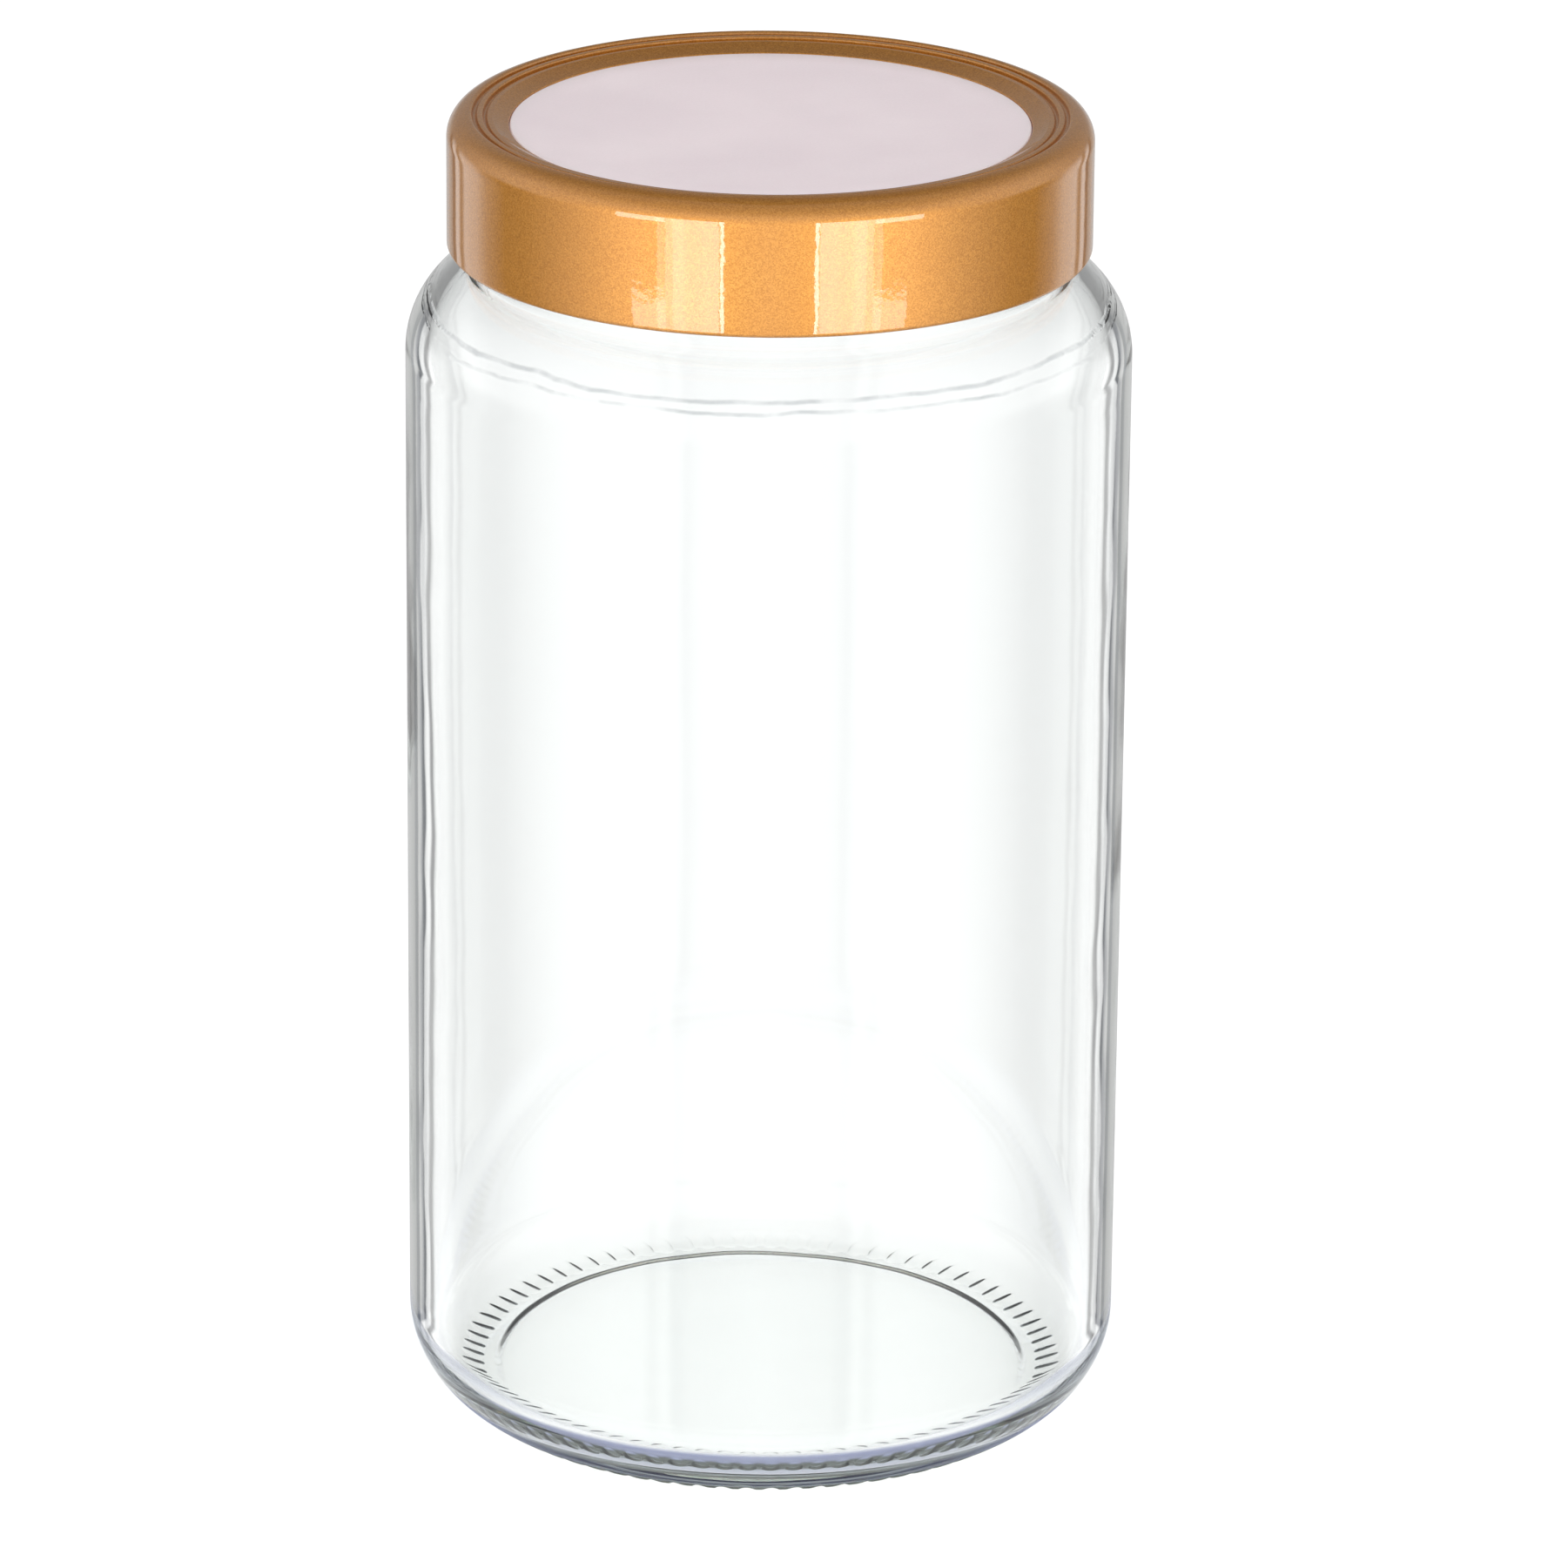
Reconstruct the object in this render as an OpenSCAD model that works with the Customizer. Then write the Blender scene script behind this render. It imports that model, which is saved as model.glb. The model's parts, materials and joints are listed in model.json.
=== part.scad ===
// Straight-sided storage jar with a two-piece screw closure.
// Millimetres, +Z up, origin at the centre of the ring that the jar stands on.

/* [Glass jar] */
// Outside diameter of the straight wall
body_d = 98; // [96:0.5:102]
// Height of the glass from the resting ring to the rim
glass_h = 178.2; // [120:0.1:220]
// Thickness of the side wall
wall_t = 3.3; // [2.8:0.1:3.8]
// Thickness of the floor over the resting ring
floor_t = 4.8; // [4:0.1:6]
// Outside radius of the rounded heel and shoulder
round_r = 13; // [12:0.5:14]
// Height of the flat recess under the floor
recess = 0.3; // [0.2:0.05:0.8]
// Number of radial grooves round the resting ring
knurl_count = 80; // [40:2:90]

/* [Neck and thread] */
// Diameter of the neck between the threads
neck_d = 80.4; // [80:0.1:80.8]
// Thickness of the neck wall
neck_t = 3.3; // [3:0.1:3.5]
// Height of the neck from the shoulder's fillet to the rim
neck_h = 14.3; // [13.8:0.1:15]
// Rise of the thread in one turn
thread_pitch = 5.08; // [4.6:0.01:5.3]
// How far each thread stands out of its wall
thread_depth = 1.15; // [1:0.05:1.2]
// Length of the thread on the glass, in turns
glass_turns = 1.5; // [1.2:0.05:1.6]
// Length of the thread inside the band, in turns
band_turns = 1.25; // [1:0.05:1.3]

/* [Closure] */
// Outside diameter of the screw band
band_d = 86.8; // [86.4:0.1:88]
// Height of the screw band
band_h = 18.4; // [17.4:0.1:19]
// Thickness of the band's skirt
band_t = 1.5; // [1.3:0.05:1.6]
// Diameter of the opening that shows the window
window_d = 70; // [66:0.5:70]
// Depth of the window's face below the top of the band
window_drop = 1.7; // [1.5:0.1:2]
// Thickness of the disc's flange
disc_t = 1.15; // [1:0.05:1.3]
// Thickness of the seal under the disc
seal_t = 1; // [0.8:0.1:1.2]

/* [Hidden] */

$fn = 144;
arc_step = 6;

// Glass, outside
body_r = body_d / 2;
turn_r = body_r - round_r;
heel_cut = 0.5;
heel_z = round_r - heel_cut;
ring_out_r = turn_r + sqrt(pow(round_r, 2) - pow(heel_z, 2));
ring_w = 2;
ring_in_r = ring_out_r - ring_w;
recess_edge_w = 1.8;
neck_r = neck_d / 2;
neck_fillet = 1.6;
shoulder_rise = sqrt(pow(round_r + neck_fillet, 2) - pow(neck_r + neck_fillet - turn_r, 2));
shoulder_z = glass_h - neck_h - shoulder_rise;
shoulder_angle = atan2(shoulder_rise, neck_r + neck_fillet - turn_r);

// Glass, inside
bore_r = body_r - wall_t;
mouth_r = neck_r - neck_t;
inner_heel_r = 7.5;
inner_round_r = round_r - wall_t;
mouth_fillet = 3;
mouth_rise = sqrt(pow(inner_round_r + mouth_fillet, 2) - pow(mouth_r + mouth_fillet - turn_r, 2));
mouth_angle = atan2(mouth_rise, mouth_r + mouth_fillet - turn_r);
rim_out_r = 1.2;
rim_in_r = 1.5;

// Shallow grooves across the heel's foot, along its tangent this many degrees below level
knurl_r = 2.2;
knurl_depth = 0.35;
knurl_at = 68;
knurl_len = 8;

// Threads: the band's bead runs just under the glass bead
bead_sink = 0.5;
bead_step = 6;
bead_fade = 24;
glass_bead_w = 2.6;
band_bead_w = 2.2;
bead_crest_w = 0.9;
bead_mid_height = 0.62;
bead_mid_share = 0.58;
bead_end_height = 0.1;
bead_gap = 1.55;
bead_below_rim = 9.6;
glass_bead_z = glass_h - bead_below_rim;
band_bead_start = 30;
band_bead_z = glass_bead_z - bead_gap + thread_pitch * band_bead_start / 360;

// Closure
disc_z = glass_h + seal_t;
play = 0.05;
flange_z = disc_z + disc_t + play;
cap_rise = 3.2;
band_top = flange_z + cap_rise;
band_bottom = band_top - band_h;
band_r = band_d / 2;
band_bore_r = band_r - band_t;
window_r = window_d / 2;
window_z = band_top - window_drop;
panel_clearance = 0.08;
panel_r = window_r - panel_clearance;
panel_t = 1.5;
panel_step = 1.5;
disc_play = 0.7;
disc_r = band_bore_r - disc_play;
disc_edge = 0.3;
rib_play = 0.3;
rib_out_r = mouth_r - rib_play;
rib_t = 0.7;
rib_h = 1.4;
seal_edge = 0.25;
seal_in_play = 0.15;
seal_overhang = 0.45;
skirt_in_edge = 0.3;
skirt_out_edge = 0.6;
cap_round = 3.4;
crest_w = 0.4;
crest_r = band_r - cap_round + crest_w;
lip_edge = 0.3;
lip_drop = 0.2;

// Corners of the band's top face: distance in from the crest, depth below the top, rounding
edge_one = [0.05, 0.45, 0.4];
groove_one = [0.75, 0.55, 0.3];
ridge_one_out = [1.25, 0.5, 0.2];
ridge_one_in = [1.65, 0.55, 0.25];
groove_two = [2.15, 0.85, 0.25];
ridge_two_out = [2.6, 0.85, 0.2];
ridge_two_in = [3.1, 0.95, 0.3];

// Points along an arc, from one angle to another about a centre
function arc(centre, radius, from, to) =
    let (steps = max(1, ceil(abs(to - from) / arc_step)))
    [for (i = [0 : steps])
        let (a = from + (to - from) * i / steps)
        centre + radius * [cos(a), sin(a)]];

// Smooth fall of the underside from the flat recess to the resting ring
function recess_edge() = [for (t = [0 : 0.125 : 1])
    [ring_in_r - recess_edge_w * (1 - t), recess * (1 + cos(180 * t)) / 2]];

function glass_outline() = concat(
    [[0, recess]],
    recess_edge(),
    arc([turn_r, heel_z], round_r, -acos((ring_out_r - turn_r) / round_r), 0),
    arc([turn_r, shoulder_z], round_r, 0, shoulder_angle),
    arc([neck_r + neck_fillet, shoulder_z + shoulder_rise], neck_fillet,
        shoulder_angle + 180, 180),
    arc([neck_r - rim_out_r, glass_h - rim_out_r], rim_out_r, 0, 90),
    arc([mouth_r + rim_in_r, glass_h - rim_in_r], rim_in_r, 90, 180),
    arc([mouth_r + mouth_fillet, shoulder_z + mouth_rise], mouth_fillet, 180, mouth_angle + 180),
    arc([turn_r, shoulder_z], inner_round_r, mouth_angle, 0),
    arc([bore_r - inner_heel_r, floor_t + inner_heel_r], inner_heel_r, 0, -90),
    [[0, floor_t]]);

// Helical bead with a tapering start and end, sunk into the wall it grows from.
// The wall is at wall_r, and depth is positive outwards and negative inwards.
module thread_bead(wall_r, depth, base_w, turns, start_angle, start_z) {
    side = sign(depth);
    foot_r = wall_r - side * bead_sink;
    height = abs(depth) + bead_sink;
    mid_w = base_w * bead_mid_share + bead_crest_w * (1 - bead_mid_share);
    section = [
        [0, -base_w / 2], [bead_mid_height, -mid_w / 2], [1, -bead_crest_w / 2],
        [1, bead_crest_w / 2], [bead_mid_height, mid_w / 2], [0, base_w / 2]];
    sides = len(section);
    rings = ceil(turns * 360 / bead_step);
    points = [for (i = [0 : rings])
        let (turned = turns * 360 * i / rings)
        let (fade = min(1, bead_end_height + min(turned, turns * 360 - turned) / bead_fade))
        for (p = section)
            let (r = foot_r + side * height * fade * p[0])
            [r * cos(start_angle + turned), r * sin(start_angle + turned),
                start_z + thread_pitch * turned / 360 + p[1]]];
    skin = [for (i = [0 : rings - 1]) for (k = [0 : sides - 1])
        let (a = i * sides + k, b = i * sides + (k + 1) % sides)
        each [[a, b, b + sides], [a, b + sides, a + sides]]];
    start_cap = [for (k = [1 : sides - 2]) [0, k + 1, k]];
    last = rings * sides;
    end_cap = [for (k = [1 : sides - 2]) [last, last + k, last + k + 1]];
    faces = concat(skin, start_cap, end_cap);
    polyhedron(points, side > 0 ? faces : [for (f = faces) [f[0], f[2], f[1]]]);
}

// One cutter, lying along the heel's tangent
module knurl_cutter() {
    from_turn = round_r + knurl_r - knurl_depth;
    translate([turn_r + from_turn * cos(knurl_at), 0, heel_z - from_turn * sin(knurl_at)])
        rotate([0, knurl_at, 0])
            cylinder(h = knurl_len, r = knurl_r, center = true, $fn = 48);
}

module glass_jar() {
    color([0.86, 0.92, 0.92, 0.35]) {
        difference() {
            union() {
                rotate_extrude() polygon(glass_outline());
                thread_bead(neck_r, thread_depth, glass_bead_w, glass_turns, 0, glass_bead_z);
            }
            for (i = [0 : knurl_count - 1])
                rotate([0, 0, (i + 0.5) * 360 / knurl_count]) knurl_cutter();
        }
    }
}

// Translucent disc: a raised window panel, a flange, and a rib that plugs the mouth
module window_disc() {
    step_r = panel_r - panel_step;
    rib_in_r = rib_out_r - rib_t;
    under_z = window_z - panel_t;
    color([0.92, 0.9, 0.94]) rotate_extrude() polygon(concat(
        [[0, under_z], [step_r, under_z], [step_r, disc_z], [rib_in_r, disc_z]],
        arc([rib_in_r + disc_edge, disc_z - rib_h + disc_edge], disc_edge, 180, 270),
        arc([rib_out_r - disc_edge, disc_z - rib_h + disc_edge], disc_edge, 270, 360),
        [[rib_out_r, disc_z]],
        arc([disc_r - disc_edge, disc_z + disc_edge], disc_edge, 270, 360),
        arc([disc_r - disc_edge, disc_z + disc_t - disc_edge], disc_edge, 0, 90),
        [[panel_r, disc_z + disc_t]],
        arc([panel_r - disc_edge, window_z - disc_edge], disc_edge, 0, 90),
        [[0, window_z]]));
}

// Soft ring pinched between the disc's flange and the glass rim
module seal_ring() {
    in_r = rib_out_r + seal_in_play;
    out_r = neck_r + seal_overhang;
    color([0.95, 0.95, 0.94]) rotate_extrude() polygon(concat(
        arc([in_r + seal_edge, glass_h + seal_edge], seal_edge, 180, 270),
        arc([out_r - seal_edge, glass_h + seal_edge], seal_edge, 270, 360),
        arc([out_r - seal_edge, disc_z - seal_edge], seal_edge, 0, 90),
        arc([in_r + seal_edge, disc_z - seal_edge], seal_edge, 90, 180)));
}

// One rounded corner of the band's top face
function corner(place, from, to) =
    arc([crest_r - place[0], band_top - place[1]], place[2], from, to);

// Section of the band: skirt, rolled top edge, two fine grooves and a slope to the window
function band_outline() = concat(
    arc([band_bore_r + skirt_in_edge, band_bottom + skirt_in_edge], skirt_in_edge, 180, 270),
    arc([band_r - skirt_out_edge, band_bottom + skirt_out_edge], skirt_out_edge, 270, 360),
    arc([band_r - cap_round, band_top - cap_round], cap_round, 0, acos(crest_w / cap_round)),
    corner(edge_one, 90, 180),
    corner(groove_one, 360, 180),
    corner(ridge_one_out, 0, 90),
    corner(ridge_one_in, 90, 180),
    corner(groove_two, 360, 180),
    corner(ridge_two_out, 0, 90),
    corner(ridge_two_in, 90, 115),
    arc([window_r + lip_edge, window_z - lip_drop], lip_edge, 90, 180),
    [[window_r, flange_z], [band_bore_r, flange_z]]);

module screw_band() {
    color([0.8, 0.55, 0.22]) union() {
        rotate_extrude() polygon(band_outline());
        thread_bead(band_bore_r, -thread_depth, band_bead_w, band_turns,
            band_bead_start, band_bead_z);
    }
}

glass_jar();
window_disc();
seal_ring();
screw_band();
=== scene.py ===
"""Screw-top glass storage jar: visual model, materials and studio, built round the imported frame.

Lengths are in metres, in the row frame. Lathed pieces are outlines of (radius, height) turned about Z.
"""

import json
import math

import bpy
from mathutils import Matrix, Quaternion, Vector

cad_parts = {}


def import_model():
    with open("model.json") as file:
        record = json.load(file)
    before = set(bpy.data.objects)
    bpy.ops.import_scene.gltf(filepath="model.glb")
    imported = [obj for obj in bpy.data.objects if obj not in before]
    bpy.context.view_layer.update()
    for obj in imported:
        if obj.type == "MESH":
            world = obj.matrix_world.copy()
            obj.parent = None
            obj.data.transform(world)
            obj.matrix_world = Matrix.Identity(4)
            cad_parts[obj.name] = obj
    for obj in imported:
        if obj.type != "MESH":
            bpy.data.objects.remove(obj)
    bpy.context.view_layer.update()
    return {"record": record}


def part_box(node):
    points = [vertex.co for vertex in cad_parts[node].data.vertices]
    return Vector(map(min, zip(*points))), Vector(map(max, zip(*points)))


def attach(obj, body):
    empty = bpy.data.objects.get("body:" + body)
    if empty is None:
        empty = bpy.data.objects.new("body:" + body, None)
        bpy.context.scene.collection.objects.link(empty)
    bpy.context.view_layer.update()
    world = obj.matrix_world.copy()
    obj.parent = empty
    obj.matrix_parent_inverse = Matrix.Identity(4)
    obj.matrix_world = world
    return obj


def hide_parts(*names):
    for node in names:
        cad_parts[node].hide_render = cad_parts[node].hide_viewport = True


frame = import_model()

MM = 0.001
# Points this close count as one
NEAR = 1e-6

# ---------------------------------------------------------------- sizes taken from the frame

jar_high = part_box("glass_jar")[1]
band_low, band_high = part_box("screw_band")
disc_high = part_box("window_disc")[1]
seal_low, seal_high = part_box("seal_ring")


def mount(name):
    """The record's mount of that name."""
    return next(m for m in frame["record"]["mounts"] if m["name"] == name)


BODY_R = mount("body_wall")["dims"]["r_mm"] * MM
GLASS_H = jar_high[2]
BAND_R = round(band_high[0], 4)
BAND_TOP = band_high[2]
BAND_BOTTOM = band_low[2]
DISC_R = round(disc_high[0], 4)
WINDOW_Z = disc_high[2]
SEAL_Z = seal_low[2]
DISC_Z = seal_high[2]

# ---------------------------------------------------------------- design values shared with the CAD

# Glass
ROUND_R = 13 * MM
WALL = 3.3 * MM
FLOOR_T = 4.8 * MM
INNER_HEEL_R = 7.5 * MM
RECESS = 0.3 * MM
RECESS_EDGE = 1.8 * MM
HEEL_CUT = 0.5 * MM
RING_W = 2 * MM
NECK_R = 40.2 * MM
NECK_T = 3.3 * MM
NECK_H = 14.3 * MM
NECK_FILLET = 1.6 * MM
MOUTH_FILLET = 3 * MM
RIM_OUT_R = 1.2 * MM
RIM_IN_R = 1.5 * MM

# Grooves across the heel's foot: number, radius of each, depth, and angle below level
KNURLS = 80
KNURL_R = 2.2 * MM
KNURL_DEPTH = 0.35 * MM
KNURL_AT = math.radians(68)

# Threads: the band's bead runs just under the glass bead
PITCH = 5.08 * MM
THREAD_DEPTH = 1.15 * MM
BEAD_SINK = 0.5 * MM
BEAD_GAP = 1.55 * MM
BEAD_BELOW_RIM = 9.6 * MM
BEAD_CREST_HALF = 0.45 * MM
GLASS_BEAD_HALF = 1.3 * MM
BAND_BEAD_HALF = 1.1 * MM
BEAD_ROUNDING = 1.75
BEAD_END_HEIGHT = 0.1
BEAD_FADE = math.radians(24)
GLASS_TURNS = 1.5
BAND_TURNS = 1.25
BAND_BEAD_START = math.radians(30)
GLASS_BEAD_Z = GLASS_H - BEAD_BELOW_RIM
BAND_BEAD_Z = GLASS_BEAD_Z - BEAD_GAP + PITCH * BAND_BEAD_START / math.tau

# Band
BAND_T = 1.5 * MM
CAP_ROUND = 3.4 * MM
CREST_W = 0.4 * MM
SKIRT_IN_EDGE = 0.3 * MM
SKIRT_OUT_EDGE = 0.6 * MM
LIP_EDGE = 0.3 * MM
LIP_DROP = 0.2 * MM
WINDOW_R = 35 * MM

# Disc
DISC_T = 1.15 * MM
DISC_EDGE = 0.3 * MM
PLAY = 0.05 * MM
FLANGE_Z = DISC_Z + DISC_T + PLAY
PANEL_R = WINDOW_R - 0.08 * MM
PANEL_T = 1.5 * MM
PANEL_STEP = 1.5 * MM
STEP_EDGE = 0.2 * MM
RIB_PLAY = 0.3 * MM
RIB_OUT_R = NECK_R - NECK_T - RIB_PLAY
RIB_T = 0.7 * MM
RIB_H = 1.4 * MM

# Seal
SEAL_EDGE = 0.25 * MM
SEAL_IN_R = RIB_OUT_R + 0.15 * MM
SEAL_OUT_R = NECK_R + 0.45 * MM

# ---------------------------------------------------------------- outlines


def arc(cx, cz, radius, start, end, step=5.0):
    """Points along an arc about (cx, cz), from one angle to another in degrees."""
    count = max(1, math.ceil(abs(end - start) / step))
    angles = (math.radians(start + (end - start) * i / count) for i in range(count + 1))
    return [(cx + radius * math.cos(a), cz + radius * math.sin(a)) for a in angles]


def line(start, end, spacing):
    """Points between two ends, both left out, no further apart than spacing."""
    length = math.dist(start, end)
    count = max(1, math.ceil(length / spacing))
    return [tuple(a + (b - a) * i / count for a, b in zip(start, end)) for i in range(1, count)]


def joined(*stretches):
    """One outline from stretches of points, without points that fall together."""
    points = []
    for p in (p for stretch in stretches for p in stretch):
        if not points or math.dist(points[-1], p) > NEAR:
            points.append(p)
    return points


# ---------------------------------------------------------------- meshes


def lathe(name, outline, segments, shape=None, closed=True):
    """A surface of revolution with smooth shading.

    outline is a list of (radius, height, segments) or (radius, height); a radius of 0 is a pole.
    shape(angle, radius, height) returns the radius and height that a point moves to.
    """
    verts, rings = [], []
    for point in outline:
        r, z = point[:2]
        count = point[2] if len(point) > 2 else segments
        if r < NEAR:
            count = 1
        ring = []
        for k in range(count):
            angle = math.tau * k / count
            rr, zz = shape(angle, r, z) if shape and count > 1 else (r, z)
            ring.append(len(verts))
            verts.append((rr * math.cos(angle), rr * math.sin(angle), zz))
        rings.append(ring)
    faces = []
    pairs = list(zip(rings, rings[1:]))
    if closed and len(rings[0]) > 1:
        pairs.append((rings[-1], rings[0]))
    for low, high in pairs:
        faces += band_of_faces(low, high)
    mesh = bpy.data.meshes.new(name)
    mesh.from_pydata(verts, [], faces)
    mesh.validate()
    mesh.shade_smooth()
    mesh.set_sharp_from_angle(angle=math.radians(35))
    piece = bpy.data.objects.new(name, mesh)
    bpy.context.scene.collection.objects.link(piece)
    return piece


def band_of_faces(a, b):
    """Faces between two rings of vertices, where one count divides the other or is 1."""
    n, m = len(a), len(b)
    if n == 1 and m == 1:
        return []
    if n == m:
        return [(a[k], a[(k + 1) % n], b[(k + 1) % n], b[k]) for k in range(n)]
    if n == 1:
        return [(a[0], b[(k + 1) % m], b[k]) for k in range(m)]
    if m == 1:
        return [(a[k], a[(k + 1) % n], b[0]) for k in range(n)]
    faces = []
    if n < m:
        share = m // n
        for k in range(n):
            after = (k + 1) % n
            near = [b[(k * share + j) % m] for j in range(share + 1)]
            half = share // 2
            for j in range(share):
                corner = a[k] if j < half else a[after]
                faces.append((corner, near[j + 1], near[j]))
            faces.append((a[k], a[after], near[half]))
        return faces
    return [tuple(reversed(f)) for f in band_of_faces(b, a)]


def thread_height(angle, z, turns, start_angle, start_z, half_w):
    """How far a thread bead stands out of its wall at that angle and height."""
    best = 0.0
    for turn in range(math.ceil(turns) + 1):
        turned = (angle - start_angle) % math.tau + turn * math.tau
        if turned > turns * math.tau:
            break
        off = abs(z - start_z - PITCH * turned / math.tau)
        if off >= half_w:
            continue
        share = max(0.0, (off - BEAD_CREST_HALF) / (half_w - BEAD_CREST_HALF))
        from_end = min(turned, turns * math.tau - turned)
        fade = min(1.0, BEAD_END_HEIGHT + from_end / BEAD_FADE)
        full = (THREAD_DEPTH + BEAD_SINK) * fade
        best = max(best, full * (1 - share ** BEAD_ROUNDING) - BEAD_SINK)
    return best


# ---------------------------------------------------------------- glass jar

TURN_R = BODY_R - ROUND_R
HEEL_Z = ROUND_R - HEEL_CUT
RING_OUT_R = TURN_R + math.sqrt(ROUND_R ** 2 - HEEL_Z ** 2)
RING_IN_R = RING_OUT_R - RING_W
BORE_R = BODY_R - WALL
MOUTH_R = NECK_R - NECK_T
INNER_ROUND_R = ROUND_R - WALL
SHOULDER_RISE = math.sqrt((ROUND_R + NECK_FILLET) ** 2 - (NECK_R + NECK_FILLET - TURN_R) ** 2)
SHOULDER_Z = GLASS_H - NECK_H - SHOULDER_RISE
SHOULDER_ANGLE = math.degrees(math.atan2(SHOULDER_RISE, NECK_R + NECK_FILLET - TURN_R))
MOUTH_RISE = math.sqrt((INNER_ROUND_R + MOUTH_FILLET) ** 2 - (MOUTH_R + MOUTH_FILLET - TURN_R) ** 2)
MOUTH_ANGLE = math.degrees(math.atan2(MOUTH_RISE, MOUTH_R + MOUTH_FILLET - TURN_R))

# Height of the line that the mould leaves on the shoulder, drawn as a bump and as a painted shade line
SEAM_Z = SHOULDER_Z + 5.7 * MM

# Segments round the jar, and in the rows that the grooves shape
COARSE, FINE = 256, 1280
FINE_FROM_R, FINE_TO_R = RING_OUT_R - 1.5 * MM, RING_OUT_R + 4.2 * MM
GROOVES_BELOW_Z = 2.2 * MM
# Rows of faces under the flat recess, and on its edge
RECESS_ROWS = 8

# The bore's slow waves: how many round the jar, radians up it per metre, start and weight
BORE_WAVES = [(3, 31, 0.0, 1.0), (2, -47, 1.3, 1.0), (5, 83, 0.7, 0.5), (0, 62, 2.1, 0.8)]
BORE_WAVES_DEPTH = 0.12 * MM
BORE_WAVES_EASE = 15 * MM


def glass_outline():
    """The jar's section, from the axis under the floor, up the outside and down the inside."""
    flat_r = RING_IN_R - RECESS_EDGE
    shares = [i / RECESS_ROWS for i in range(RECESS_ROWS + 1)]
    flat = [(flat_r * t, RECESS) for t in shares[:-1]]
    step = [(flat_r + RECESS_EDGE * t, RECESS * (1 + math.cos(math.pi * t)) / 2) for t in shares]
    fine_end = math.degrees(math.acos((FINE_TO_R - TURN_R) / ROUND_R))
    ring_edge = math.degrees(math.acos((RING_OUT_R - TURN_R) / ROUND_R))
    ring_in, ring_out = (FINE_FROM_R, 0.0), (RING_OUT_R, 0.0)
    ring = [ring_in] + line(ring_in, ring_out, 0.3 * MM) + [ring_out]
    heel_low = arc(TURN_R, HEEL_Z, ROUND_R, -ring_edge, -fine_end, 1.3)
    fine = [(r, z, FINE) for r, z in joined(ring, heel_low)]
    wall_low, wall_high = (BODY_R, HEEL_Z), (BODY_R, SHOULDER_Z)
    neck_foot, neck_top = (NECK_R, SHOULDER_Z + SHOULDER_RISE), (NECK_R, GLASS_H - RIM_OUT_R)
    mouth_top, mouth_foot = (MOUTH_R, GLASS_H - RIM_IN_R), (MOUTH_R, SHOULDER_Z + MOUTH_RISE)
    bore_high, bore_low = (BORE_R, SHOULDER_Z), (BORE_R, FLOOR_T + INNER_HEEL_R)
    floor_r = BORE_R - INNER_HEEL_R
    rest = joined(
        arc(TURN_R, HEEL_Z, ROUND_R, -fine_end + 2, 0, 4),
        line(wall_low, wall_high, 3.5 * MM),
        arc(TURN_R, SHOULDER_Z, ROUND_R, 0, SHOULDER_ANGLE, 4),
        arc(NECK_R + NECK_FILLET, neck_foot[1], NECK_FILLET, SHOULDER_ANGLE + 180, 180, 12),
        line(neck_foot, neck_top, 0.28 * MM),
        arc(NECK_R - RIM_OUT_R, neck_top[1], RIM_OUT_R, 0, 90, 12),
        arc(MOUTH_R + RIM_IN_R, mouth_top[1], RIM_IN_R, 90, 180, 12),
        line(mouth_top, mouth_foot, 2 * MM),
        arc(MOUTH_R + MOUTH_FILLET, mouth_foot[1], MOUTH_FILLET, 180, MOUTH_ANGLE + 180, 8),
        arc(TURN_R, SHOULDER_Z, INNER_ROUND_R, MOUTH_ANGLE, 0, 5),
        line(bore_high, bore_low, 3.5 * MM),
        arc(floor_r, bore_low[1], INNER_HEEL_R, 0, -90, 4),
        line((floor_r, FLOOR_T), (0, FLOOR_T), 5 * MM),
        [(0, FLOOR_T)])
    return flat + step + fine + rest


def knurled(angle, r, z):
    """Where a point of the resting ring or heel lies once the radial grooves are pressed in."""
    period = math.tau / KNURLS
    aside = ((angle / period) % 1.0 - 0.5) * period * r
    out = Vector((math.cos(KNURL_AT), -math.sin(KNURL_AT)))
    proud = (Vector((r, z)) - Vector((TURN_R, HEEL_Z))).dot(out) - ROUND_R
    bottom = KNURL_R - KNURL_DEPTH - math.sqrt(KNURL_R ** 2 - aside ** 2)
    if proud <= bottom:
        return r, z
    return r + (bottom - proud) * out[0], z + (bottom - proud) * out[1]


def uneven(angle, z):
    """How far the pressed wall's inner face stands out or in at a place."""
    waves = sum(w * math.sin(n * angle + k * z + start) for n, k, start, w in BORE_WAVES)
    inset = min(z - FLOOR_T - INNER_HEEL_R, SHOULDER_Z - z) / BORE_WAVES_EASE
    return BORE_WAVES_DEPTH * min(1.0, max(0.0, inset)) * waves / (2 * sum(wave[3] for wave in BORE_WAVES))


def shape_glass(angle, r, z):
    """Grooves under the heel, the thread on the neck, and a slightly uneven bore."""
    if z < GROOVES_BELOW_Z and RING_IN_R < r < FINE_TO_R:
        return knurled(angle, r, z)
    if abs(r - NECK_R) < NEAR and z > SHOULDER_Z:
        height = thread_height(angle, z, GLASS_TURNS, 0.0, GLASS_BEAD_Z, GLASS_BEAD_HALF)
        return r + max(0.0, height), z
    if abs(r - BORE_R) < NEAR:
        return r + uneven(angle, z), z
    return r, z


# ---------------------------------------------------------------- closure

BAND_BORE_R = BAND_R - BAND_T
CREST_R = BAND_R - CAP_ROUND + CREST_W
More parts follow.
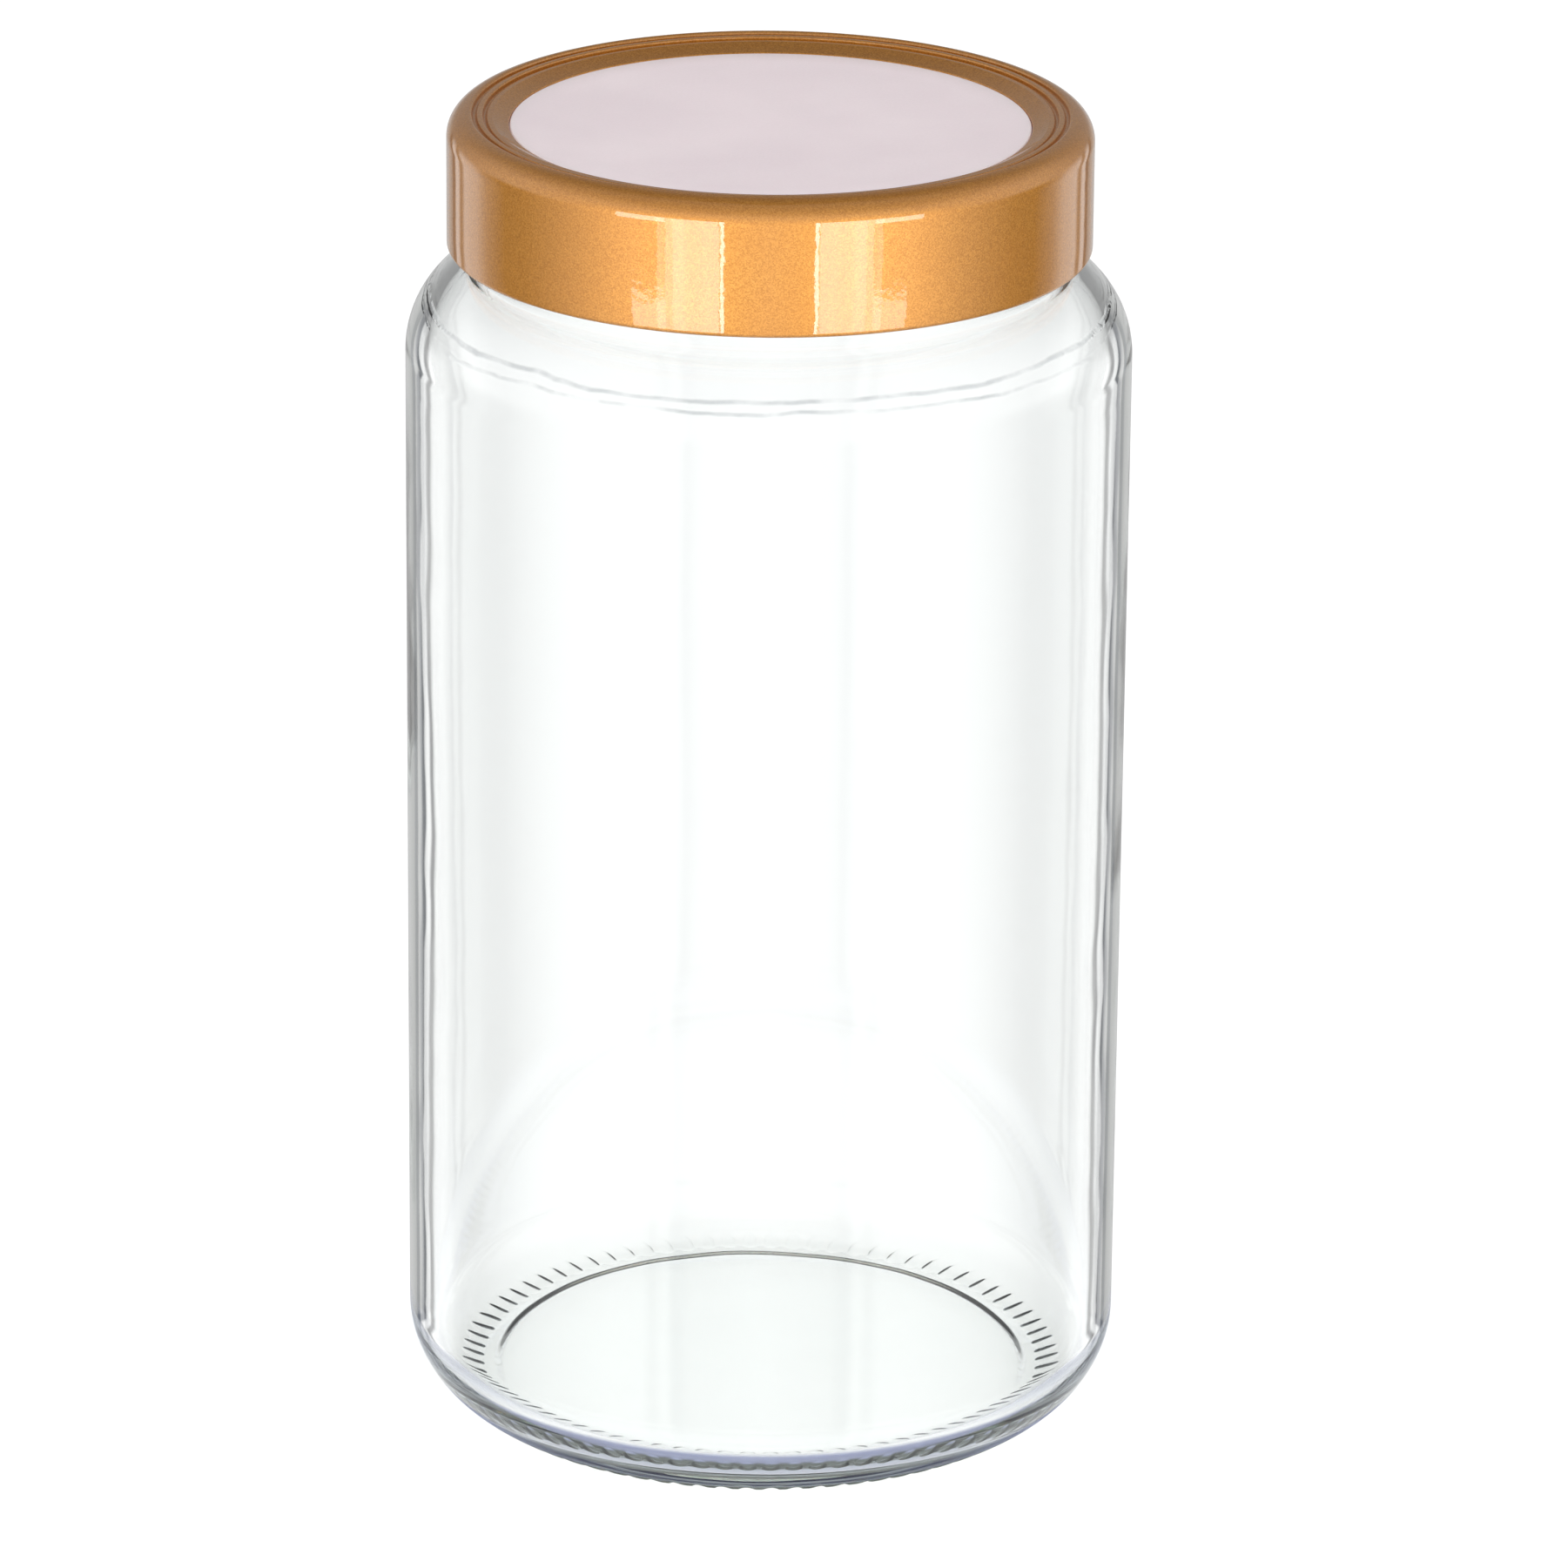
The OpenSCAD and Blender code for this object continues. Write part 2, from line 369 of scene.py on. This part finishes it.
# The top face's corners: distance in from the crest, depth and rounding in millimetres, angles
TOP_FACE = [
    ((0.05, 0.45, 0.4), 90, 180), ((0.75, 0.55, 0.3), 360, 180), ((1.25, 0.5, 0.2), 0, 90),
    ((1.65, 0.55, 0.25), 90, 180), ((2.15, 0.85, 0.25), 360, 180), ((2.6, 0.85, 0.2), 0, 90),
    ((3.1, 0.95, 0.3), 90, 115)]


def corner(place, start, end):
    """A rounded corner of the band's top face, from one angle to another in degrees."""
    inward, depth, radius = (length * MM for length in place)
    return arc(CREST_R - inward, BAND_TOP - depth, radius, start, end, 12)


def band_outline():
    """The band's section: skirt, rolled top edge, two fine grooves and a slope to the window."""
    round_end = math.degrees(math.acos((CREST_R - BAND_R + CAP_ROUND) / CAP_ROUND))
    skirt_low, skirt_high = (BAND_R, BAND_BOTTOM + SKIRT_OUT_EDGE), (BAND_R, BAND_TOP - CAP_ROUND)
    bore_high, bore_low = (BAND_BORE_R, FLANGE_Z), (BAND_BORE_R, BAND_BOTTOM + SKIRT_IN_EDGE)
    lip = (WINDOW_R, FLANGE_Z)
    return joined(
        arc(BAND_BORE_R + SKIRT_IN_EDGE, bore_low[1], SKIRT_IN_EDGE, 180, 270, 18),
        arc(BAND_R - SKIRT_OUT_EDGE, skirt_low[1], SKIRT_OUT_EDGE, 270, 360, 10),
        line(skirt_low, skirt_high, 3 * MM),
        arc(BAND_R - CAP_ROUND, skirt_high[1], CAP_ROUND, 0, round_end, 4),
        *(corner(*stretch) for stretch in TOP_FACE),
        arc(WINDOW_R + LIP_EDGE, WINDOW_Z - LIP_DROP, LIP_EDGE, 90, 180, 15),
        [lip],
        line(lip, bore_high, 3 * MM),
        [bore_high],
        line(bore_high, bore_low, 0.3 * MM))


def shape_band(angle, r, z):
    """The thread inside the skirt."""
    if abs(r - BAND_BORE_R) > NEAR or z > FLANGE_Z - NEAR:
        return r, z
    height = thread_height(angle, z, BAND_TURNS, BAND_BEAD_START, BAND_BEAD_Z, BAND_BEAD_HALF)
    return r - max(0.0, height), z


def disc_outline():
    """The disc's section, from the axis under the window, out to the flange and back on top."""
    step_r, rib_in_r = PANEL_R - PANEL_STEP, RIB_OUT_R - RIB_T
    under_z, rib_z = WINDOW_Z - PANEL_T, DISC_Z - RIB_H + DISC_EDGE
    top_z = DISC_Z + DISC_T
    axis_low, axis_high = (0, under_z), (0, WINDOW_Z)
    return joined(
        [axis_low],
        line(axis_low, (step_r, under_z), 4 * MM),
        arc(step_r - STEP_EDGE, under_z - STEP_EDGE, STEP_EDGE, 90, 0, 30),
        [(step_r, DISC_Z)],
        [(rib_in_r, DISC_Z)],
        arc(rib_in_r + DISC_EDGE, rib_z, DISC_EDGE, 180, 270, 18),
        arc(RIB_OUT_R - DISC_EDGE, rib_z, DISC_EDGE, 270, 360, 18),
        [(RIB_OUT_R, DISC_Z)],
        line((RIB_OUT_R, DISC_Z), (DISC_R, DISC_Z), 1.5 * MM),
        arc(DISC_R - DISC_EDGE, DISC_Z + DISC_EDGE, DISC_EDGE, 270, 360, 18),
        arc(DISC_R - DISC_EDGE, top_z - DISC_EDGE, DISC_EDGE, 0, 90, 18),
        [(PANEL_R, top_z)],
        arc(PANEL_R - DISC_EDGE, WINDOW_Z - DISC_EDGE, DISC_EDGE, 0, 90, 15),
        line((PANEL_R - DISC_EDGE, WINDOW_Z), axis_high, 4 * MM),
        [axis_high])


def seal_outline():
    """The seal's section, a flat ring with rounded corners."""
    in_r, out_r = SEAL_IN_R + SEAL_EDGE, SEAL_OUT_R - SEAL_EDGE
    low_z, high_z = SEAL_Z + SEAL_EDGE, DISC_Z - SEAL_EDGE
    return joined(
        arc(in_r, low_z, SEAL_EDGE, 180, 270, 18),
        arc(out_r, low_z, SEAL_EDGE, 270, 360, 18),
        arc(out_r, high_z, SEAL_EDGE, 0, 90, 18),
        arc(in_r, high_z, SEAL_EDGE, 90, 180, 18))


# ---------------------------------------------------------------- materials


def material(name):
    """A new node material, its tree and its Principled shader."""
    mat = bpy.data.materials.new(name)
    mat.use_nodes = True
    return mat, mat.node_tree, mat.node_tree.nodes["Principled BSDF"]


def add(tree, kind, inputs=None, **settings):
    """A node with some of its inputs set or linked, and its own settings."""
    made = tree.nodes.new(kind)
    for key, value in settings.items():
        setattr(made, key, value)
    for key, value in (inputs or {}).items():
        if isinstance(value, bpy.types.NodeSocket):
            tree.links.new(value, made.inputs[key])
        else:
            made.inputs[key].default_value = value
    return made


def noise(tree, where, scale, detail=3.0, rough=0.5):
    """The value of a noise texture at a place, with scale in features per metre."""
    made = add(tree, "ShaderNodeTexNoise", {
        "Vector": where, "Scale": scale, "Detail": detail, "Roughness": rough})
    return made.outputs["Fac"]


def ramp(tree, value, low, high, start=0.0, end=1.0):
    """A value mapped from one range to another, clamped."""
    made = add(tree, "ShaderNodeMapRange", {
        "Value": value, "From Min": start, "From Max": end, "To Min": low, "To Max": high})
    return made.outputs["Result"]


def math_node(tree, operation, first, second=0.0):
    """The result of a Math node."""
    return add(tree, "ShaderNodeMath", {0: first, 1: second}, operation=operation).outputs[0]


def blend_colour(tree, factor, first, second):
    """A mix of two colours by a value."""
    made = add(tree, "ShaderNodeMix", data_type="RGBA")
    tree.links.new(factor, made.inputs["Factor"])
    for socket, colour in zip([s for s in made.inputs if s.type == "RGBA"], (first, second)):
        if isinstance(colour, bpy.types.NodeSocket):
            tree.links.new(colour, socket)
        else:
            socket.default_value = (*colour, 1)
    return next(s for s in made.outputs if s.type == "RGBA")


def bump(tree, height, distance, strength=1.0, normal=None):
    """The normal of a surface raised by a height in metres times distance."""
    made = add(tree, "ShaderNodeBump", {
        "Height": height, "Distance": distance, "Strength": strength})
    if normal is not None:
        tree.links.new(normal, made.inputs["Normal"])
    return made.outputs["Normal"]


def place(tree):
    """Object coordinates, which stay with the piece as it moves."""
    return add(tree, "ShaderNodeTexCoord").outputs["Object"]


def clear_where(tree, shader, factor, colour=(1, 1, 1, 1)):
    """The material's surface: the shader where the factor is 0, plain transparency where it is 1."""
    clear = add(tree, "ShaderNodeBsdfTransparent", {"Color": colour})
    mixed = add(tree, "ShaderNodeMixShader", {
        0: factor, 1: shader.outputs["BSDF"], 2: clear.outputs["BSDF"]})
    tree.links.new(mixed.outputs["Shader"], tree.nodes["Material Output"].inputs["Surface"])


def seam_and_painted_shade(tree, where):
    """1 on the thin broken line that the mould leaves where wall and shoulder meet, 0 off it. The glass
    raises it as a bump and tints it grey as painted shade.
    """
    height = add(tree, "ShaderNodeSeparateXYZ", {"Vector": where}).outputs["Z"]
    sway = ramp(tree, noise(tree, where, 60, 4), -0.4 * MM, 0.4 * MM, 0.3, 0.7)
    level = math_node(tree, "ADD", sway, SEAM_Z)
    off = math_node(tree, "ABSOLUTE", math_node(tree, "SUBTRACT", height, level))
    line_here = ramp(tree, off, 1.0, 0.0, 0.1 * MM, 0.32 * MM)
    broken = ramp(tree, noise(tree, where, 190, 3), 0.15, 0.9, 0.36, 0.6)
    # The painted shade of the line fades out towards grazing views
    facing = add(tree, "ShaderNodeLayerWeight", {"Blend": 0.5}).outputs["Facing"]
    clear = math_node(tree, "MULTIPLY", broken, ramp(tree, facing, 1.0, 0.0, 0.25, 0.55))
    return math_node(tree, "MULTIPLY", line_here, clear)


def glass_material():
    """Clear soda glass: faint green in depth, a little uneven, with smooth faces."""
    mat, tree, shader = material("clear_glass")
    where = place(tree)
    shader.inputs["Transmission Weight"].default_value = 1.0
    shader.inputs["IOR"].default_value = 1.52
    tint = blend_colour(tree, noise(tree, where, 12), (0.985, 0.995, 0.992), (0.995, 1.0, 0.998))
    smudge = ramp(tree, noise(tree, where, 45, 5, 0.6), 0.0, 0.03, 0.45, 0.8)
    tree.links.new(smudge, shader.inputs["Roughness"])
    slow = bump(tree, noise(tree, where, 30, 2), 0.14 * MM)
    seam_and_shade = seam_and_painted_shade(tree, where)
    tree.links.new(bump(tree, seam_and_shade, 0.06 * MM, normal=slow), shader.inputs["Normal"])
    # The seam line is tinted dark grey: painted shade standing in for the dark line that refraction draws
    # at the mould line
    tree.links.new(blend_colour(tree, seam_and_shade, tint, (0.42, 0.44, 0.46)), shader.inputs["Base Color"])
    shadow = add(tree, "ShaderNodeLightPath").outputs["Is Shadow Ray"]
    clear_where(tree, shader, shadow, (0.985, 0.99, 0.988, 1))
    depth = add(tree, "ShaderNodeVolumeAbsorption", {"Color": (0.55, 0.9, 0.74, 1), "Density": 3.0})
    tree.links.new(depth.outputs["Volume"], tree.nodes["Material Output"].inputs["Volume"])
    return mat


def gold_material():
    """Gold metallic paint: fine flakes over ochre, under a gloss coat."""
    mat, tree, shader = material("gold_paint")
    where = place(tree)
    flakes = add(tree, "ShaderNodeTexVoronoi", {"Vector": where, "Scale": 6500.0})
    flake = add(tree, "ShaderNodeSeparateColor", {"Color": flakes.outputs["Color"]})
    grain = ramp(tree, flake.outputs["Red"], 0.0, 1.0)
    base = blend_colour(tree, grain, (0.44, 0.172, 0.015), (0.63, 0.283, 0.042))
    patchy = blend_colour(tree, ramp(tree, noise(tree, where, 60, 4), 0, 0.2, 0.4, 0.7),
                          base, (0.50, 0.19, 0.024))
    tree.links.new(patchy, shader.inputs["Base Color"])
    shader.inputs["Metallic"].default_value = 0.8
    tree.links.new(ramp(tree, flake.outputs["Green"], 0.44, 0.58), shader.inputs["Roughness"])
    sparkle = bump(tree, flake.outputs["Blue"], 0.012 * MM, 0.3)
    tree.links.new(sparkle, shader.inputs["Normal"])
    shader.inputs["Coat Weight"].default_value = 1.0
    shader.inputs["Coat Roughness"].default_value = 0.03
    shader.inputs["Coat IOR"].default_value = 1.65
    peel = bump(tree, noise(tree, where, 900, 2), 0.006 * MM)
    tree.links.new(peel, shader.inputs["Coat Normal"])
    return mat


def window_material():
    """Milky translucent plastic with a fine moulded speckle."""
    mat, tree, shader = material("frosted_plastic")
    where = place(tree)
    speck = ramp(tree, noise(tree, where, 2600, 2), 0.0, 1.0, 0.35, 0.65)
    cloud = ramp(tree, noise(tree, where, 45, 4), 0.0, 1.0, 0.35, 0.65)
    milk = blend_colour(tree, cloud, (0.69, 0.61, 0.635), (0.73, 0.65, 0.67))
    base = blend_colour(tree, ramp(tree, speck, 0.0, 0.08), milk, (0.78, 0.72, 0.745))
    tree.links.new(base, shader.inputs["Base Color"])
    tree.links.new(ramp(tree, speck, 0.16, 0.22), shader.inputs["Roughness"])
    tree.links.new(bump(tree, speck, 0.0015 * MM), shader.inputs["Normal"])
    shader.inputs["IOR"].default_value = 1.49
    shader.inputs["Subsurface Weight"].default_value = 0.6
    shader.inputs["Subsurface Radius"].default_value = (1.0, 0.9, 0.95)
    shader.inputs["Subsurface Scale"].default_value = 2.5 * MM
    return mat


def seal_material():
    """Soft white silicone with a dry, slightly dusty surface."""
    mat, tree, shader = material("silicone")
    where = place(tree)
    dust = noise(tree, where, 700, 4)
    base = blend_colour(tree, dust, (0.80, 0.80, 0.78), (0.90, 0.90, 0.89))
    tree.links.new(base, shader.inputs["Base Color"])
    tree.links.new(ramp(tree, dust, 0.45, 0.62), shader.inputs["Roughness"])
    tree.links.new(bump(tree, dust, 0.01 * MM), shader.inputs["Normal"])
    shader.inputs["Subsurface Weight"].default_value = 0.3
    shader.inputs["Subsurface Scale"].default_value = 1.5 * MM
    return mat


# ---------------------------------------------------------------- pieces


def fit(piece, body, node, mat):
    """Rides the piece on its body, in place of its CAD node, with its finish."""
    piece.data.materials.append(mat)
    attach(piece, body)
    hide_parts(node)


glass = lathe("jar_glass", glass_outline(), COARSE, shape_glass, closed=False)
fit(glass, "jar", "glass_jar", glass_material())

disc = lathe("lid_window", disc_outline(), COARSE, closed=False)
fit(disc, "lid", "window_disc", window_material())

seal = lathe("lid_seal", seal_outline(), COARSE)
fit(seal, "lid", "seal_ring", seal_material())

band = lathe("lid_band", band_outline(), 2 * COARSE, shape_band)
fit(band, "band", "screw_band", gold_material())

# ---------------------------------------------------------------- studio

FLOOR_HALF = 5.0
FLOOR_TONE = 0.94
FLOOR_GAP = 0.05 * MM
WORLD_POWER = 1.16
# Painted reflections: mirrors see the painted rings under the jar on the floor out to one radius, and the
# painted bands round the jar from the other on
UNDER_TO, ROUND_FROM = 56 * MM, 64 * MM
# In these lists a colour is a grey or a (red, green, blue).
# Painted reflection low down, by degrees from the Y axis: grey and dark bands and bright stripes that only
# mirrors see, standing in for cards and lamps that the studio does not have
PAINTED_REFLECTION_ROUND = [
    (0, 0.50), (15, 0.52), (21, (0.42, 0.42, 0.41)), (24.5, 0.32), (25.8, (0.08, 0.09, 0.11)),
    (28.8, (0.08, 0.09, 0.11)), (30.5, 0.90), (34, 0.90), (36, 0.20), (38, 0.20), (41, 1.0),
    (52, 1.0), (60, 0.45), (72, 0.05), (84, 0.15), (105, 0.6), (130, 1.0), (141, 1.0), (143, 0.6),
    (145, 0.6), (147, 0.95), (149, 0.95), (151, (0.34, 0.35, 0.37)), (154, (0.34, 0.35, 0.37)),
    (157, 0.62), (168, 0.75), (180, 0.9)]
# Painted reflection on the floor at the jar, by radius in millimetres: rings of painted light and shade
# that only mirrors see, which the heel's grooves show
PAINTED_REFLECTION_UNDER = [
    (0, 1.0), (30, (0.90, 0.91, 0.93)), (33, (0.70, 0.71, 0.76)), (36, (0.48, 0.50, 0.58)),
    (39, (0.48, 0.50, 0.58)), (40, (0.15, 0.165, 0.155)), (41.6, (0.15, 0.165, 0.155)),
    (42.3, (0.34, 0.365, 0.52)), (44.3, (0.36, 0.385, 0.56)), (46, 1.0), (50, (0.85, 0.87, 0.93)),
    (56, (0.60, 0.62, 0.70))]
# Painted reflection above the horizon, by the sine of the height: pale low down, dimmer overhead
PAINTED_REFLECTION_ABOVE = [(0, 0.80), (0.45, (0.85, 0.85, 0.86)), (0.78, (0.42, 0.42, 0.44)), (1, (0.38, 0.38, 0.40))]
# Painted reflection behind the jar: how bright mirrors see it there, and the degrees over which it reaches
# the rest
BEHIND = 0.32
BEHIND_FROM, BEHIND_TO = math.radians(35), math.radians(80)
# Sines of the heights over which PAINTED_REFLECTION_ROUND gives way to PAINTED_REFLECTION_ABOVE
HORIZON_FROM, HORIZON_TO = -0.1, 0.05
# How many mirrored bounces one scattered bounce outweighs, more than a ray can have
OUTWEIGH = 20.0
# Soft panels at each side of the front, which only the band sees: their distance, and for each
# the degrees from the front where it starts and ends, its heights in metres, and its brightness
PANEL_FAR = 0.40
PANELS = [
    (16.6, 32.5, 0.01, 0.21, 4.7), (15.1, 16.3, 0.01, 0.21, 9), (32.5, 35, 0.01, 0.21, 3.6),
    (35, 38, 0.01, 0.21, 1.8), (35, 52, 0.10, 0.21, 4.7), (35, 47, 0.02, 0.06, 3)]
# The camera: degrees above level, degrees of roll, distance and aim height in body radii
CAMERA_PITCH, CAMERA_ROLL = 19.98, 0.5
CAMERA_FAR, CAMERA_AIM = 26.318, 1.7935
LENS, SHIFT_X = 215.9, 0.0121


def mirrored(tree):
    """1 for a ray of the view that some surface has mirrored on its way, 0 for any other."""
    path = add(tree, "ShaderNodeLightPath").outputs
    scattered = math_node(tree, "MULTIPLY", path["Diffuse Depth"], OUTWEIGH)
    return ramp(tree, math_node(tree, "SUBTRACT", path["Glossy Depth"], scattered), 0.0, 1.0)


def gradient(tree, value, stops):
    """A colour read off a list of (position, colour or grey), where 1 is the list's last position."""
    made = add(tree, "ShaderNodeValToRGB", {"Fac": value})
    points = made.color_ramp.elements
    for _ in stops[2:]:
        points.new(0.5)
    for point, (position, colour) in zip(points, stops):
        point.position = position / stops[-1][0]
        rgb = colour if isinstance(colour, tuple) else (colour,) * 3
        point.color = (*rgb, 1)
    return made.outputs["Color"]


def floor():
    """A plain pale floor; in its place mirrored rays see painted rings of light and shade under the jar,
    and the world's painted reflection beyond.
    """
    mesh = bpy.data.meshes.new("floor")
    h = FLOOR_HALF
    mesh.from_pydata([(-h, -h, 0), (h, -h, 0), (h, h, 0), (-h, h, 0)], [], [(0, 1, 2, 3)])
    obj = bpy.data.objects.new("floor", mesh)
    bpy.context.scene.collection.objects.link(obj)
    mat, tree, shader = material("studio_floor")
    spot = place(tree)
    out = add(tree, "ShaderNodeVectorMath", {0: spot}, operation="LENGTH").outputs["Value"]
    # Painted reflection: rings of light and shade that only mirrored rays see on the floor under the jar
    under = gradient(tree, math_node(tree, "DIVIDE", out, UNDER_TO), PAINTED_REFLECTION_UNDER)
    seen = mirrored(tree)
    tree.links.new(blend_colour(tree, seen, (FLOOR_TONE,) * 3, under), shader.inputs["Base Color"])
    shader.inputs["Roughness"].default_value = 0.9
    shader.inputs["Specular IOR Level"].default_value = 0.1
    gone = math_node(tree, "MULTIPLY", seen, ramp(tree, out, 0.0, 1.0, UNDER_TO, ROUND_FROM))
    clear_where(tree, shader, gone)
    mesh.materials.append(mat)
    obj.location.z = -FLOOR_GAP


def softbox(place_at, aim_at, width, height, power, seen_in):
    """A rectangular soft light that the camera doesn't see and only one collection catches."""
    data = bpy.data.lights.new("panel", "AREA")
    data.shape = "RECTANGLE"
    data.size, data.size_y = width, height
    data.energy = power
    obj = bpy.data.objects.new("panel", data)
    obj.location = place_at
    obj.rotation_euler = (Vector(aim_at) - Vector(place_at)).to_track_quat("-Z", "Y").to_euler()
    obj.visible_camera = False
    bpy.context.scene.collection.objects.link(obj)
    obj.light_linking.receiver_collection = seen_in


def panels():
    """The soft panels at both sides of the front, mirrored in the gold band and in nothing else."""
    seen_in = bpy.data.collections.new("seen_in_the_band")
    seen_in.objects.link(band)
    for side in (-1, 1):
        for low, high, bottom, top, bright in PANELS:
            turn, half = math.radians(side * (low + high) / 2), math.radians((high - low) / 2)
            middle = (bottom + top) / 2
            spot = (PANEL_FAR * math.sin(turn), -PANEL_FAR * math.cos(turn), middle)
            width, height = 2 * PANEL_FAR * math.tan(half), top - bottom
            power = bright * math.pi * width * height
            softbox(spot, (0, 0, middle), width, height, power, seen_in)


def world():
    """Even pale light from all round; mirrors see a painted reflection in its place: dark and bright bands
    low down and a dimmer ceiling.
    """
    made = bpy.data.worlds.new("studio")
    made.use_nodes = True
    tree = made.node_tree
    way = add(tree, "ShaderNodeSeparateXYZ", {
        "Vector": add(tree, "ShaderNodeTexCoord").outputs["Generated"]}).outputs
    from_y = math_node(tree, "ABSOLUTE", math_node(tree, "ARCTAN2", way["X"], way["Y"]))
    low = gradient(tree, math_node(tree, "DIVIDE", from_y, math.pi), PAINTED_REFLECTION_ROUND)
    walls = ramp(tree, from_y, BEHIND, 1.0, BEHIND_FROM, BEHIND_TO)
    above = gradient(tree, way["Z"], PAINTED_REFLECTION_ABOVE)
    high = add(tree, "ShaderNodeVectorMath", {0: above, 1: walls}, operation="MULTIPLY").outputs[0]
    painted_room = blend_colour(tree, ramp(tree, way["Z"], 0.0, 1.0, HORIZON_FROM, HORIZON_TO), low, high)
    # Mirrored rays see the painted reflection; all other rays see even white
    tone = blend_colour(tree, mirrored(tree), (1.0, 1.0, 1.0), painted_room)
    back = tree.nodes["Background"]
    tree.links.new(tone, back.inputs["Color"])
    back.inputs["Strength"].default_value = WORLD_POWER
    bpy.context.scene.world = made


def camera():
    """The camera at the photograph's viewing angle: long lens, twenty degrees above level."""
    data = bpy.data.cameras.new("camera")
    obj = bpy.data.objects.new("camera", data)
    pitch, roll = math.radians(CAMERA_PITCH), math.radians(CAMERA_ROLL)
    target = Vector((0, 0, CAMERA_AIM * BODY_R))
    way = Vector((0, -math.cos(pitch), math.sin(pitch)))
    obj.location = target + CAMERA_FAR * BODY_R * way
    level = (target - obj.location).to_track_quat("-Z", "Y")
    obj.rotation_euler = (level @ Quaternion((0, 0, 1), roll)).to_euler()
    data.lens = LENS
    data.sensor_width = 36
    data.shift_x = SHIFT_X
    data.clip_start, data.clip_end = 0.05, 20
    bpy.context.scene.collection.objects.link(obj)
    bpy.context.scene.camera = obj


def light_paths():
    """Plain colours, and enough bounces for light to cross the glass walls and their edges."""
    scene = bpy.context.scene
    scene.view_settings.view_transform = "Standard"
    scene.cycles.blur_glossy = 0
    scene.cycles.max_bounces = 24
    scene.cycles.glossy_bounces = 16
    scene.cycles.transmission_bounces = 20


floor()
world()
panels()
camera()
light_paths()
